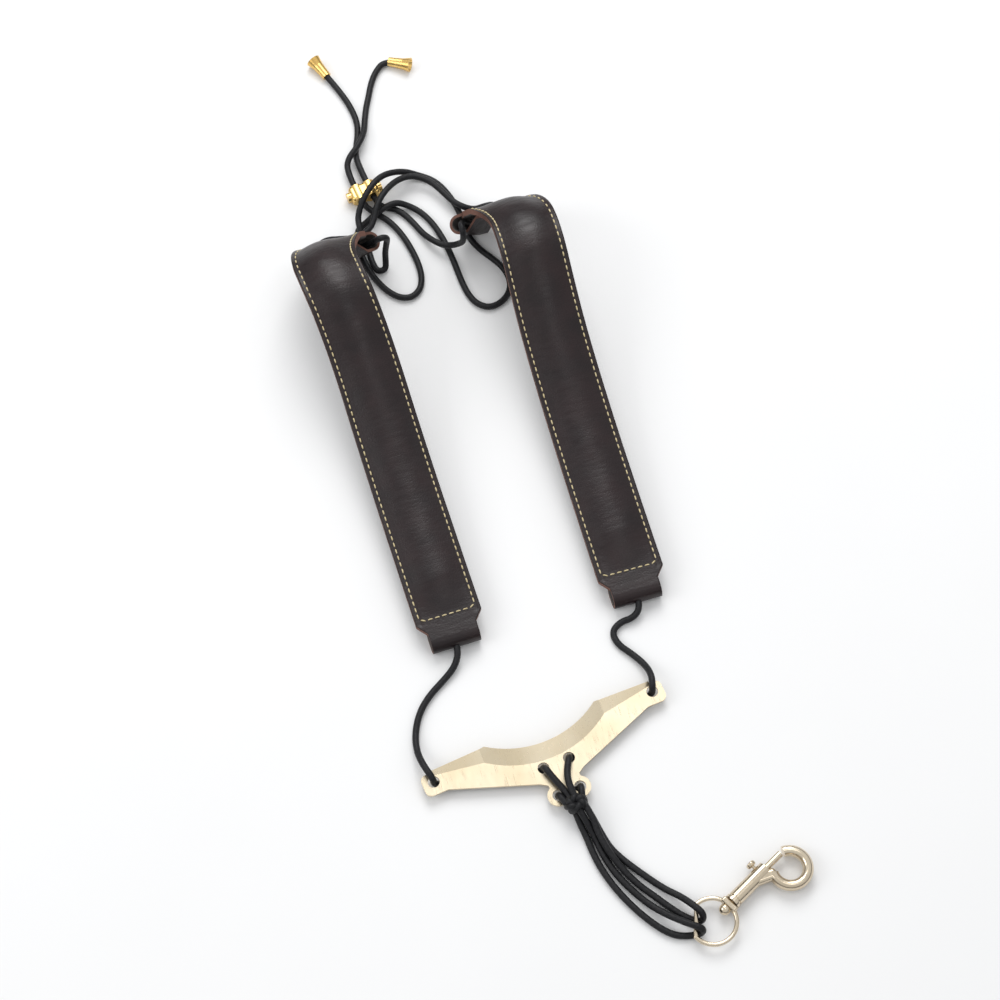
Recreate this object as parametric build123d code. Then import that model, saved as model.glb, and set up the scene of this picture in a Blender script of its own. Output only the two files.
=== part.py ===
from build123d import *
import os
from math import cos, pi, radians, sin, tan

os.makedirs("parts", exist_ok=True)

# Millimetres. The strap lies on a table at Z = 0 with its hook at -Y and its cord slider at +Y.
# +Z is up, and "left" and "right" are towards -X and +X.

# ---------------------------------------------------------------- driving dimensions
STRAP_WIDTH = 38.0          # padded part of each shoulder strap
TAB_WIDTH = 28.0            # narrow end tabs that hold the cords
LEATHER = 1.6               # outer leather thickness
BACKING = 1.6               # backing leather thickness
CROWN = 4.0                 # height of the foam under the outer leather
CROWN_HALF = 13.0           # half width of the foam
TUNNEL_RADIUS = 4.2         # inside radius of the folded end tabs
FLAP = 15.0                 # leather turned back under each tab
TAB_LENGTH = 4.0            # straight narrow part between tunnel and shoulder of the strap
SHOULDER = 6.0              # length over which the strap narrows to the tab
BODY_LENGTH = 268.0         # strap from the front shoulder to the rear shoulder
CORD = 3.8                  # cord diameter
CORD_HOLE = 4.6             # holes for the cord in the leather
STITCH_PITCH = 4.1
STITCH = (2.7, 0.8, 0.5)    # length, width, height of one visible stitch
SEAM_INSET = 2.7            # from the edge of the strap to the seam
TABLE_PRESS = 0.04          # depth by which the folded tabs are flattened where they rest
UNDER_TABLE = (300, 700, 10)

YOKE_THICKNESS = 1.6
YOKE_HOLE = 6.6
YOKE_LIFT = 4.3             # underside of the yoke, which lies on the cords
YOKE_PLACE = (-22.5, -115.0)
YOKE_TURN = 6.3             # degrees about Z

RING_WIRE = 2.6
RING_RADIUS = 12.7          # wire centre line of the bow
RING_PLACE = (32.0, -241.5)
RING_HEIGHT = 5.3
BAR_ANGLE = 160.0           # direction from the ring's centre to its straight bar
BAR_HALF_ANGLE = 45.0       # half the arc that the bar cuts off
HOOK_ANGLE = 27.6           # direction of the hook's axis in plan
BOSS = (3.5, 10.0, 6.4)     # along the axis, across, high
BARREL_RADIUS = 4.2
BARREL_LENGTH = 25.0
BARREL_START = RING_RADIUS + 3.4
BOLT_RADIUS = 1.9
FIT = 0.08                  # radial running fit
BOLT_TRAVEL = 7.5
LOOP_RADIUS = 9.7
LOOP_SECTION = (6.0, 7.0)   # radial width, height
LOOP_CENTRE = (34.7, -9.1)  # from the barrel's rear end, along and across the axis

SLIDER_PLACE = (-20.0, 250.0)
SLIDER_TURN = 6.0
SLIDER_SIZE = (22.0, 10.0, 8.6)
SLIDER_SPACING = 8.0
SLIDER_HEIGHT = 4.4
SLIDER_HOLE = CORD + 0.5

BELL_MOUTH = 9.0
BELL_NECK = 5.6
BELL_LENGTH = 14.0
BELL_SOCKET = 6.0           # depth that the cord goes into a bell

HOOK_KNOT = (-17.9, -158.5, 8.7)
HOOK_KNOT_SIZE = (13.6, 11.2, 10.0)
FRONT_KNOT_SIZE = (9.0, 7.2, 7.2)

FLOOR = (Align.CENTER, Align.CENTER, Align.MIN)


# ---------------------------------------------------------------- shoulder straps
PADS = {
    # centre x, y of the tunnel's centre, heading in degrees, inward side
    "left": (-52.3, -44.7, 0.7, 1),
    "right": (53.0, -49.2, -0.9, -1),
}
# along the strap from the front shoulder, in millimetres, and the slope there in degrees
SLOPES = [(0, 0), (20, 2.85), (75, 5), (130, 12.5), (184, 24), (202, 24), (270, -68), (320, -68)]
# and how far the strap has turned inwards in its own plane
LEANS = {
    "left": [(0, 0), (150, 0), (212, -6), (234, -2), (286, 60)],
    "right": [(0, 0), (150, 0), (212, -2), (232, 0), (286, 58)],
}


def between(table, s):
    """Value of a piecewise linear table at s."""
    for (s0, v0), (s1, v1) in zip(table, table[1:]):
        if s <= s1:
            return v0 + (v1 - v0) * (s - s0) / (s1 - s0)
    return table[-1][1]


def half_width(s, length):
    """Half width of the strap, narrow at both ends."""
    end = min(s, length - s)
    if end <= TAB_LENGTH:
        return TAB_WIDTH / 2
    if end >= TAB_LENGTH + SHOULDER:
        return STRAP_WIDTH / 2
    return TAB_WIDTH / 2 + (STRAP_WIDTH - TAB_WIDTH) / 2 * (end - TAB_LENGTH) / SHOULDER


def strap_frames(side):
    """Frames (s, point, along, across, outward, half width) from front tab to rear tab."""
    x, y, yaw, inward = PADS[side]
    heading = Vector(-sin(radians(yaw)), cos(radians(yaw)), 0)
    level = Vector(cos(radians(yaw)), sin(radians(yaw)), 0)
    up = Vector(0, 0, 1)
    ends = TAB_LENGTH + SHOULDER
    length = BODY_LENGTH + 2 * ends
    point = Vector(x, y, LEATHER + 2 * TUNNEL_RADIUS - TABLE_PRESS)
    frames = []
    step = 1.0
    for i in range(int(length / step) + 1):
        s = i * step
        slope = radians(between(SLOPES, s))
        lean = radians(between(LEANS[side], s)) * inward
        downhill = heading * cos(slope) + up * sin(slope)
        outward = up * cos(slope) - heading * sin(slope)
        along = downhill * cos(lean) + level * sin(lean)
        across = level * cos(lean) - downhill * sin(lean)
        frames.append((s, point, along, across, outward, half_width(s, length)))
        point = point + along * step
    return frames


def turned(frame, angle, radius):
    """The frame after the strap has folded under by an angle about its own width."""
    s, point, along, across, outward, half = frame
    centre = point - outward * radius
    a = radians(angle)
    new_out = outward * cos(a) + along * sin(a)
    new_along = along * cos(a) - outward * sin(a)
    return (s, centre + new_out * radius, new_along, across, new_out, half)


def moved(frame, distance, sink):
    """The frame further along, shifted inwards by sink."""
    s, point, along, across, outward, half = frame
    return (s, point + along * distance - outward * sink, along, across, outward, half)


def flap_frames(end):
    """Frames of a folded tab, beyond the end frame, whose along points outwards."""
    folds = [turned(end, angle, TUNNEL_RADIUS) for angle in range(20, 181, 20)]
    flat = folds[-1]
    rise = 2 * TUNNEL_RADIUS - BACKING - 0.4
    return folds + [moved(flat, 5, 0), moved(flat, FLAP - 3, rise), moved(flat, FLAP, rise)]


def reverse(frame):
    """The same frame seen from the other end."""
    s, point, along, across, outward, half = frame
    return (s, point, along * -1, across * -1, outward, half)


def chosen(frames, first, last):
    """Every frame needed for a smooth strap: close together where it bends."""
    keep = []
    for frame in frames:
        s = frame[0]
        gap = 15 if TAB_LENGTH + SHOULDER < s < 180 else 6
        wanted = not keep or s - keep[-1][0] >= gap or s in (TAB_LENGTH, TAB_LENGTH + SHOULDER)
        if first <= s <= last and (wanted or s == last):
            keep.append(frame)
    return keep


def crown_height(s, length):
    """Height of the foam, which tapers away before each tab."""
    end = min(s, length - s) - TAB_LENGTH - SHOULDER - 3
    return max(0.0, min(1.0, end / 12.0)) * CROWN


def section(frame, outline):
    """Closed wire from (across, out) pairs in a frame."""
    s, point, along, across, outward, half = frame
    return Wire.make_polygon([point + across * a + outward * o for a, o in outline], close=True)


def leather_outline(half, crown):
    """Leather over the foam: flat edges and a raised middle."""
    inner = min(CROWN_HALF, half - 1)
    under = [(-half, 0), (-inner, 0), (-inner / 2, crown), (inner / 2, crown), (inner, 0), (half, 0)]
    over = [(a, o + LEATHER) for a, o in reversed(under)]
    return under + over


def foam_outline(crown):
    """Foam: flat below, crowned above."""
    inner = CROWN_HALF
    return [(-inner, 0), (-inner / 2, crown), (inner / 2, crown), (inner, 0)]


def cord_exit(frame, turn):
    """Cutter for the cord's hole in the nose of a folded tab."""
    nose = turned(frame, turn, TUNNEL_RADIUS)
    plane = Plane(origin=nose[1], x_dir=nose[3], z_dir=nose[4])
    return plane * Cylinder(CORD_HOLE / 2, 8 * LEATHER)


def outer_leather(side):
    """One piece of leather: padded face and both folded tabs."""
    frames = strap_frames(side)
    length = frames[-1][0]
    front = reverse(frames[0])
    rear = frames[-1]
    folded = [reverse(f) for f in reversed(flap_frames(front))]
    run = folded + chosen(frames, 0, length) + flap_frames(rear)
    wires = []
    for frame in run:
        crown = crown_height(frame[0], length)
        wires.append(section(frame, leather_outline(frame[5], crown)))
    leather = Solid.make_loft(wires, ruled=True)
    table = Pos(0, 0, -UNDER_TABLE[2] / 2) * Box(*UNDER_TABLE)
    return leather - cord_exit(front, 90) - table


def foam_core(side):
    """Foam pad between the leathers."""
    frames = strap_frames(side)
    length = frames[-1][0]
    start = TAB_LENGTH + SHOULDER + 4
    run = [f for f in chosen(frames, 0, length) if start < f[0] < length - start]
    return Solid.make_loft([section(f, foam_outline(crown_height(f[0], length))) for f in run], ruled=True)


def backing_leather(side):
    """Soft leather under the foam, as long as the padded part."""
    frames = strap_frames(side)
    length = frames[-1][0]
    start = TAB_LENGTH
    run = chosen(frames, start, length - start)
    outlines = [[(-f[5], -BACKING), (f[5], -BACKING), (f[5], 0), (-f[5], 0)] for f in run]
    return Solid.make_loft([section(f, o) for f, o in zip(run, outlines)], ruled=True)


def stitch(frame, across_at, turned_across=False):
    """One stitch lying on the leather."""
    s, point, along, across, outward, half = frame
    long, wide, high = STITCH
    spot = point + across * across_at + outward * (LEATHER + high / 2)
    direction = across if turned_across else along
    return Plane(origin=spot, x_dir=direction, z_dir=outward) * Box(long, wide, high)


def stitching(side):
    """The seam along both edges and across the front and the rear."""
    frames = strap_frames(side)
    length = frames[-1][0]
    first = TAB_LENGTH + SHOULDER + 6
    count = int((length - 2 * first) / STITCH_PITCH)
    edge = STRAP_WIDTH / 2 - SEAM_INSET
    stitches = []
    for i in range(count + 1):
        frame = frames[round(first + i * STITCH_PITCH)]
        stitches += [stitch(frame, -edge), stitch(frame, edge)]
    across_count = int(2 * (edge - 4) / STITCH_PITCH)
    for end in (first - 2, length - first + 2):
        for i in range(across_count + 1):
            place = (i - across_count / 2) * STITCH_PITCH
            stitches.append(stitch(frames[round(end)], place, turned_across=True))
    return Compound(children=[piece.solid() for piece in stitches])


# ---------------------------------------------------------------- yoke
END_HOLE = (65.7, -0.5)
INNER_HOLE = (7.6, -17.3)
LOBE_HOLE = (6.5, -34.7)
END_PAD = (15.0, 12.6)       # rounded plate around each end hole
END_PAD_AT = (64.6, -1.4)
END_ROUND = 3.6
PLATE_STATIONS = 20         # stations each side of the centre line
FLANGE_STATIONS = 22
STATION = 3.0
UPPER_END = 5.6             # heights of the upper edge and the crease at the end holes
CREASE_END = 3.2
LOBE_ROUND = 6.0
PEAK = (33.0, 6.0)
VALLEY = -4.5               # upper edge on the centre line
CREASE_SIDE = (36.0, -1.5)
CREASE_VALLEY = -13.5
FLANGE_RISE = 0.36          # tangent of the flange's bend


def arc_height(x, side_point, valley):
    """Height at x of the arc through the centre line's valley and a point each side."""
    half, top = side_point
    rise = top - valley
    radius = (half * half + rise * rise) / (2 * rise)
    return valley + radius - (radius * radius - x * x) ** 0.5


def upper_edge(x):
    """Upper edge of the flange: concave in the middle, falling to the ends."""
    if abs(x) <= PEAK[0]:
        return arc_height(x, PEAK, VALLEY)
    return PEAK[1] + (UPPER_END - PEAK[1]) * (abs(x) - PEAK[0]) / (END_HOLE[0] - PEAK[0])


def crease(x):
    """Line along which the flange is bent up."""
    if abs(x) <= CREASE_SIDE[0]:
        return arc_height(x, CREASE_SIDE, CREASE_VALLEY)
    share = (abs(x) - CREASE_SIDE[0]) / (END_HOLE[0] - CREASE_SIDE[0])
    return CREASE_SIDE[1] + (CREASE_END - CREASE_SIDE[1]) * share


def yoke_plate():
    """Flat lower part of the yoke, with its two ends and two lobes."""
    stations = [i * STATION for i in range(-PLATE_STATIONS, PLATE_STATIONS + 1)]
    top = [(x, crease(x)) for x in stations]
    bottom = [(64.0, -6.2), (13.0, -25.0), (9.2, -27.5), (9.2, -38.0), (-9.2, -38.0),
              (-9.2, -27.5), (-13.0, -25.0), (-64.0, -6.2)]
    right = [(64.0, 3.4)]
    left = [(-64.0, 3.4)]
    outline = top + right + bottom + left
    plate = extrude(make_face(Polyline(*outline, close=True)), YOKE_THICKNESS)
    for sign in (-1, 1):
        end_face = Pos(sign * END_PAD_AT[0], END_PAD_AT[1]) * RectangleRounded(*END_PAD, END_ROUND)
        end = extrude(end_face, YOKE_THICKNESS)
        lobe = Pos(sign * LOBE_HOLE[0], LOBE_HOLE[1]) * Cylinder(LOBE_ROUND, YOKE_THICKNESS, align=FLOOR)
        plate = plate + end + lobe
    return plate


def yoke_flange():
    """Flange above the crease, bent up."""
    wires = []
    for i in range(-FLANGE_STATIONS, FLANGE_STATIONS + 1):
        x = i * STATION
        low = crease(x) - 0.05
        high = upper_edge(x)
        rise = (high - low) * FLANGE_RISE
        corners = [(x, low, 0), (x, high, rise), (x, high, rise + YOKE_THICKNESS), (x, low, YOKE_THICKNESS)]
        wires.append(Wire.make_polygon([Vector(*c) for c in corners], close=True))
    return Solid.make_loft(wires, ruled=True)


def yoke():
    """Pressed metal yoke with six cord holes."""
    body = yoke_plate() + yoke_flange()
    for x, y in (END_HOLE, INNER_HOLE, LOBE_HOLE):
        for sign in (-1, 1):
            body = body - Pos(sign * x, y, YOKE_THICKNESS / 2) * Cylinder(YOKE_HOLE / 2, 8 * YOKE_THICKNESS)
    return Pos(*YOKE_PLACE, YOKE_LIFT) * Rot(0, 0, YOKE_TURN) * body


# ---------------------------------------------------------------- hook
HOOK = Plane(origin=(*RING_PLACE, RING_HEIGHT),
             x_dir=(cos(radians(HOOK_ANGLE)), sin(radians(HOOK_ANGLE)), 0), z_dir=(0, 0, 1))
ALONG = Rot(0, 90, 0)       # turns a part made along Z to lie along X


def rod(start, end, radius):
    """Cylinder on the hook's axis from start to end."""
    return Pos(start, 0, 0) * ALONG * Cylinder(radius, end - start, align=FLOOR)


def d_ring():
    """Cast ring: a bow, a straight bar for the cords, and the swivel boss."""
    first = BAR_ANGLE + BAR_HALF_ANGLE
    bow = CenterArc((0, 0), RING_RADIUS, first, 360 - 2 * BAR_HALF_ANGLE)
    bar = Line(bow @ 1, bow @ 0)
    wire = RING_WIRE / 2
    bow_tube = sweep(Plane(bow @ 0, z_dir=bow % 0) * Circle(wire), path=bow)
    bar_tube = sweep(Plane(bar @ 0, z_dir=bar % 0) * Circle(wire), path=bar)
    corners = Pos(*(bow @ 0)) * Sphere(wire) + Pos(*(bow @ 1)) * Sphere(wire)
    ring = Pos(*RING_PLACE, RING_HEIGHT) * (bow_tube + bar_tube + corners)
    boss = Pos(RING_RADIUS, 0, 0) * fillet(Box(*BOSS).edges(), 1.2)
    pin_hole = rod(RING_RADIUS - 4, RING_RADIUS + 4, 1.5 + FIT)
    return ring + HOOK * boss - HOOK * pin_hole


def hook_body():
    """Barrel, swivel stem with its dome, and the open loop."""
    start = BARREL_START
    mouth = start + BARREL_LENGTH
    barrel = rod(start + 1.6, mouth, BARREL_RADIUS) + rod(start - 1.4, start + 0.4, BARREL_RADIUS + 0.3)
    barrel = barrel + rod(start, start + 2, BARREL_RADIUS - 0.6)
    stem = rod(RING_RADIUS - 2.2, start, 1.5)
    dome_at = RING_RADIUS - BOSS[0] / 2 - 0.2
    dome = Pos(dome_at - 1.6, 0, 0) * Sphere(3.2) & rod(dome_at - 6, dome_at, 5)
    centre = (start + LOOP_CENTRE[0], LOOP_CENTRE[1])
    arc = CenterArc(centre, LOOP_RADIUS, 66, -272)
    section_plane = Plane(arc @ 0, z_dir=arc % 0, x_dir=(0, 0, 1))
    loop = sweep(section_plane * Ellipse(LOOP_SECTION[1] / 2, LOOP_SECTION[0] / 2), path=arc)
    web = Pos(mouth - 3.5, -3.2, 0) * Rot(0, 0, -24) * Box(13, 6.4, 6.4)
    body = barrel + stem + dome + loop + fillet(web.edges(), 2.2)
    bore = rod(start + 3, mouth + 12, BOLT_RADIUS + FIT)
    slot = Pos(start + 17.4, 3, 0) * Box(BOLT_TRAVEL + 2.6, 6, 2.4)
    return HOOK * (body - bore - slot)


TIP_GAP = 0.3
BOLT_TIP = BARREL_START + 37.2
KNOB_AT = BARREL_START + 21.1


def hook_bolt():
    """Sliding bolt with its thumb knob."""
    shaft = rod(BARREL_START + 14, BOLT_TIP - TIP_GAP, BOLT_RADIUS)
    stem = Pos(KNOB_AT, 3.6, 0) * Rot(90, 0, 0) * Cylinder(1.0, 5.2)
    knob = Pos(KNOB_AT, 7.0, 0) * Rot(90, 0, 0) * Cylinder(2.7, 2.6)
    knob = fillet(knob.edges(), 1.0)
    return HOOK * (shaft + stem + knob)


def bolt_spring():
    """Compression spring behind the bolt."""
    start = BARREL_START + 3.4
    length = 10.2
    path = Helix(pitch=1.7, height=length - 0.6, radius=1.45)
    coil = sweep(Plane(path @ 0, z_dir=path % 0) * Circle(0.22), path=path)
    return HOOK * (Pos(start + 0.3, 0, 0) * ALONG * coil)


# ---------------------------------------------------------------- slider and bells
def slider():
    """Two-hole cord adjuster with a collar at each end."""
    long, deep, high = SLIDER_SIZE
    block = fillet(Box(long - 4, deep, high - 1.2).edges(), 2.0)
    for sign in (-1, 1):
        block = block + Pos(sign * SLIDER_SPACING / 2, 0, 0) * Rot(90, 0, 0) * Cylinder(high / 2, deep)
        block = block + Pos(sign * (long / 2 - 1.5), 0, 0) * ALONG * Cylinder(high / 2 - 1.2, 3)
    for sign in (-1, 1):
        hole = Pos(sign * SLIDER_SPACING / 2, 0, 0) * Rot(90, 0, 0) * Cylinder(SLIDER_HOLE / 2, 3 * deep)
        block = block - hole
    return Pos(*SLIDER_PLACE, SLIDER_HEIGHT) * Rot(0, 0, SLIDER_TURN) * block


def bell(mouth, neck):
    """Flared cord end: neck at one point, mouth at the other."""
    axis = Vector(*mouth) - Vector(*neck)
    plane = Plane(origin=neck, z_dir=axis)
    outline = [(0, 0), (BELL_NECK / 2, 0), (BELL_NECK / 2 + 0.2, 4), (BELL_NECK / 2 + 0.6, 9),
               (BELL_MOUTH / 2, BELL_LENGTH), (0, BELL_LENGTH)]
    profile = make_face(Polyline(*[(r, z) for r, z in outline], close=True))
    solid = revolve(Plane.XZ * profile, Axis.Z)
    bore = Pos(0, 0, -1) * Cylinder(CORD / 2, BELL_SOCKET + 1, align=FLOOR)
    hollow = Pos(0, 0, 8.5) * Cone(1.2, BELL_MOUTH / 2 - 0.8, 5.6, align=FLOOR)
    return plane * (solid - bore - hollow)


# ---------------------------------------------------------------- cords
# Routes of the cord's centre line, chosen point by point; each node is one stretch of cord.
ROUTES = {
    # from the knot in the front tab, over the yoke's end, through it and back up to the knot
    "front_cord_left": [
        (-52.3, -46.6, 5.8), (-52.4, -53.6, 5.7), (-57.0, -60.9, 3.4), (-65.0, -66.2, 2.0),
        (-74.5, -72.0, 2.0), (-83.0, -80.0, 2.0), (-88.8, -90.5, 2.0), (-91.3, -101.0, 3.2),
        (-91.0, -112.0, 9.3), (-87.8, -122.4, 10.0), (-87.7, -122.8, 2.0), (-77.5, -127.0, 2.0),
        (-60.0, -129.8, 2.0), (-42.5, -131.2, 2.0), (-28.4, -133.3, 2.0), (-28.2, -133.0, 9.5),
        (-24.8, -142.0, 9.0), (-21.3, -149.3, 8.4), (-19.9, -154.6, 8.1)],
    "front_cord_right": [
        (53.0, -51.2, 5.8), (53.0, -58.0, 5.7), (47.7, -62.6, 3.8), (39.8, -62.2, 2.1),
        (33.2, -66.6, 2.0), (34.2, -74.8, 2.0), (40.0, -82.5, 2.0), (44.6, -91.0, 3.2),
        (45.2, -100.0, 8.9), (43.0, -108.0, 9.8), (42.8, -108.5, 2.0), (31.5, -112.2, 2.0),
        (16.0, -119.0, 2.0), (0.5, -127.0, 2.0), (-12.9, -131.8, 2.0), (-13.05, -131.4, 9.9),
        (-17.4, -140.5, 10.6), (-18.4, -148.2, 11.4), (-17.4, -155.0, 10.9)],
    # through both lobes of the yoke
    "yoke_loop": [
        (-22.6, -157.8, 8.7), (-25.3, -150.6, 9.4), (-25.15, -150.2, 2.0), (-12.2, -148.8, 2.0),
        (-12.0, -149.2, 9.6), (-13.4, -155.5, 8.8)],
    # from the knot to the ring, round its bar and back
    "hook_loop_left": [
        (-19.3, -159.6, 5.9), (-18.8, -167.0, 3.9), (-17.4, -176.0, 2.0), (-16.8, -187.0, 2.0),
        (-14.8, -198.0, 2.0), (-10.8, -210.0, 2.0), (-4.8, -222.5, 2.0), (2.6, -234.0, 2.0),
        (10.0, -241.8, 2.0), (17.6, -244.6, 2.0), (24.9, -245.2, 2.0), (25.3, -244.3, 8.7),
        (18.6, -239.6, 8.7), (10.6, -231.6, 5.2), (3.0, -222.2, 2.2), (-3.4, -211.8, 2.0),
        (-8.8, -200.6, 2.0), (-11.9, -189.0, 2.0), (-13.2, -177.5, 2.6), (-15.6, -167.6, 7.6),
        (-18.0, -159.6, 9.8)],
    "hook_loop_right": [
        (-14.0, -159.6, 9.8), (-11.5, -167.6, 8.6), (-11.0, -177.5, 6.2), (-9.0, -188.4, 5.2),
        (-4.4, -200.0, 3.0), (1.2, -210.4, 2.0), (7.7, -219.1, 2.0), (13.4, -227.4, 2.0),
        (20.0, -235.2, 2.0), (26.9, -239.5, 2.0), (28.1, -236.9, 8.7), (24.5, -230.9, 8.7),
        (20.0, -223.2, 4.6), (13.4, -216.0, 2.0), (6.0, -206.4, 2.0), (-1.4, -196.0, 2.0),
        (-7.0, -186.4, 2.0), (-9.2, -176.8, 2.2), (-11.0, -167.2, 4.0), (-13.0, -159.6, 5.9)],
    # from the left bell through the slider and up to the right tab's tunnel
    "rear_cord_right": [
        (-20.9, 344.0, 3.6), (-17.6, 335.7, 2.5), (-14.6, 327.4, 2.0), (-12.0, 318.6, 2.0),
        (-10.4, 309.6, 2.0), (-10.1, 301.0, 2.0), (-12.1, 292.5, 2.0), (-15.4, 284.6, 2.0),
        (-17.6, 277.8, 2.8), (-18.0, 269.6, 4.4), (-15.2, 242.4, 4.4), (-11.4, 237.0, 2.6),
        (-5.4, 235.0, 2.0), (-0.8, 229.4, 2.0), (2.8, 221.8, 2.0), (5.8, 213.0, 2.6),
        (10.0, 204.4, 5.6), (15.2, 198.6, 6.8), (20.0, 196.0, 9.0), (23.4, 193.4, 13.6),
        (24.8, 191.2, 18.6), (25.0, 190.6, 24.2), (25.1, 191.4, 28.4), (25.3, 194.9, 30.0),
        (25.8, 198.2, 28.0), (28.7, 201.4, 21.0), (32.0, 203.5, 14.6)],
    # from the right tunnel, across behind the slider, to the left tab's tunnel
    "rear_cord_middle": [
        (32.0, 203.5, 14.6), (35.7, 206.0, 9.1), (40.2, 208.5, 2.9), (46.4, 211.2, 2.0),
        (52.6, 210.7, 2.0), (56.4, 215.2, 2.0), (53.0, 220.2, 2.0), (46.8, 220.6, 2.0),
        (40.4, 219.0, 3.6), (33.8, 221.2, 6.6), (28.8, 227.2, 6.4), (25.3, 235.3, 6.2),
        (21.0, 243.6, 6.2), (15.0, 249.2, 6.6), (8.0, 251.2, 8.0), (0.1, 249.0, 9.8),
        (-7.0, 243.8, 12.4), (-13.2, 238.2, 12.8), (-17.4, 232.6, 11.8), (-20.2, 226.8, 9.8),
        (-25.4, 220.8, 8.6), (-35.6, 218.8, 8.0), (-43.6, 223.4, 3.8), (-50.4, 226.2, 2.0),
        (-56.6, 223.8, 2.0), (-57.3, 217.7, 2.0), (-51.4, 215.2, 2.0), (-42.4, 212.9, 2.8),
        (-38.3, 210.2, 8.8), (-34.9, 207.8, 14.6)],
    # from the left tunnel, round the loops on the table and the slider, to the right bell
    "rear_cord_left": [
        (-34.9, 207.8, 14.6), (-31.2, 205.2, 19.4), (-26.8, 203.2, 24.6), (-25.0, 202.2, 28.0),
        (-21.8, 201.4, 30.0), (-18.9, 202.0, 27.6), (-18.6, 203.0, 22.6), (-19.6, 202.8, 16.6),
        (-20.6, 201.8, 10.6), (-21.0, 200.0, 5.4), (-22.2, 196.0, 2.0), (-27.2, 195.8, 2.0),
        (-28.7, 202.0, 2.0), (-28.4, 211.0, 2.0), (-28.9, 218.6, 2.0), (-29.8, 225.0, 6.4),
        (-29.2, 231.8, 7.2), (-26.2, 236.9, 10.4), (-21.2, 242.4, 13.8), (-14.4, 248.9, 13.8),
        (-7.2, 253.6, 12.2), (0.4, 255.5, 9.6), (8.0, 255.6, 6.2), (15.0, 253.2, 2.4),
        (21.0, 249.0, 2.0), (25.4, 243.2, 2.0), (28.6, 235.2, 2.0), (30.8, 226.2, 2.0),
        (31.6, 217.4, 2.0), (31.0, 209.0, 2.0), (32.2, 200.4, 2.0), (36.0, 191.6, 2.0),
        (41.2, 184.0, 2.0), (45.4, 176.0, 2.0), (46.8, 166.8, 2.0), (43.6, 158.6, 2.0),
        (36.6, 153.4, 2.0), (28.6, 152.6, 2.0), (22.4, 157.8, 2.0), (19.6, 166.0, 2.0),
        (18.6, 176.4, 2.0), (18.3, 188.0, 2.0), (17.6, 198.6, 2.0), (16.2, 208.4, 2.0),
        (13.6, 218.6, 2.0), (9.4, 227.6, 2.0), (3.4, 234.0, 2.6), (-3.8, 236.8, 6.2),
        (-12.8, 234.4, 6.8), (-19.0, 232.0, 5.8), (-24.4, 230.2, 2.6), (-29.8, 228.2, 2.0),
        (-33.0, 222.0, 2.0), (-33.4, 213.4, 2.0), (-33.0, 204.6, 2.0), (-31.8, 196.2, 2.0),
        (-29.0, 188.4, 2.0), (-25.2, 180.8, 2.0), (-19.8, 174.8, 2.0), (-13.0, 172.8, 2.0),
        (-6.8, 176.2, 2.0), (-3.4, 183.2, 2.0), (-2.4, 191.6, 2.0), (-3.2, 202.2, 2.0),
        (-5.3, 213.1, 2.0), (-8.6, 223.0, 2.0), (-13.0, 230.4, 2.0), (-18.6, 236.2, 2.4),
        (-23.2, 242.8, 4.4), (-25.9, 268.6, 4.4), (-22.8, 275.0, 6.2), (-17.0, 279.8, 6.6),
        (-12.0, 285.4, 6.4), (-8.0, 292.2, 4.0), (-5.4, 300.2, 2.0), (-2.2, 309.0, 2.0),
        (2.0, 317.4, 2.0), (5.8, 325.6, 2.0), (10.6, 333.0, 2.0), (18.4, 339.4, 2.5),
        (26.1, 334.6, 3.6)],
}
ARC_SHARE = 0.45            # part of the shorter run that a corner's arc takes up
# neck and mouth of each bell
BELLS = {
    "bell_left": ((-18.7, 338.5, 2.9), (-23.9, 351.5, 4.5)),
    "bell_right": ((21.0, 337.8, 2.9), (32.8, 330.4, 4.5)),
}


def corner_radius(before, corner, after):
    """Largest arc that the shorter of the two runs allows."""
    first = corner - before
    second = after - corner
    shorter = min(first.length, second.length)
    return ARC_SHARE * shorter / tan(radians(first.get_angle(second) / 2))


def cord(name):
    """Tube along straight runs joined by tangent arcs."""
    points = [Vector(*p) for p in ROUTES[name]]
    radii = [corner_radius(*three) for three in zip(points, points[1:], points[2:])]
    path = FilletPolyline(*points, radius=radii)
    tube = sweep(Plane(path @ 0, z_dir=path % 0) * Circle(CORD / 2), path=path)
    expected = pi * (CORD / 2) ** 2 * path.length
    print(name, "length", round(path.length), "volume share", round(tube.volume / expected, 4))
    print("  radii", [round(r, 1) for r in radii])
    return tube


def knot(centre, size):
    """Tied knot as one rounded lump."""
    lump = scale(Sphere(0.5), by=size)
    return Pos(*centre) * lump


# ---------------------------------------------------------------- write the parts
def write(name, shape):
    """One STEP file per node."""
    shape.label = name
    export_step(shape, f"parts/{name}.step")
    print(name, round(shape.volume, 1))


for side, (x, y, yaw, inward) in PADS.items():
    write(f"outer_leather_{side}", outer_leather(side))
    write(f"foam_core_{side}", foam_core(side))
    write(f"backing_leather_{side}", backing_leather(side))
    write(f"stitching_{side}", stitching(side))
    write(f"front_knot_{side}", knot((x, y, LEATHER + TUNNEL_RADIUS), FRONT_KNOT_SIZE))
write("yoke", yoke())
write("d_ring", d_ring())
write("hook_body", hook_body())
write("hook_bolt", hook_bolt())
write("bolt_spring", bolt_spring())
write("cord_slider", slider())
write("hook_knot", knot(HOOK_KNOT, HOOK_KNOT_SIZE))
for name in ROUTES:
    write(name, cord(name))
for name, (neck, mouth) in BELLS.items():
    write(name, bell(mouth, neck))
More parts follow.
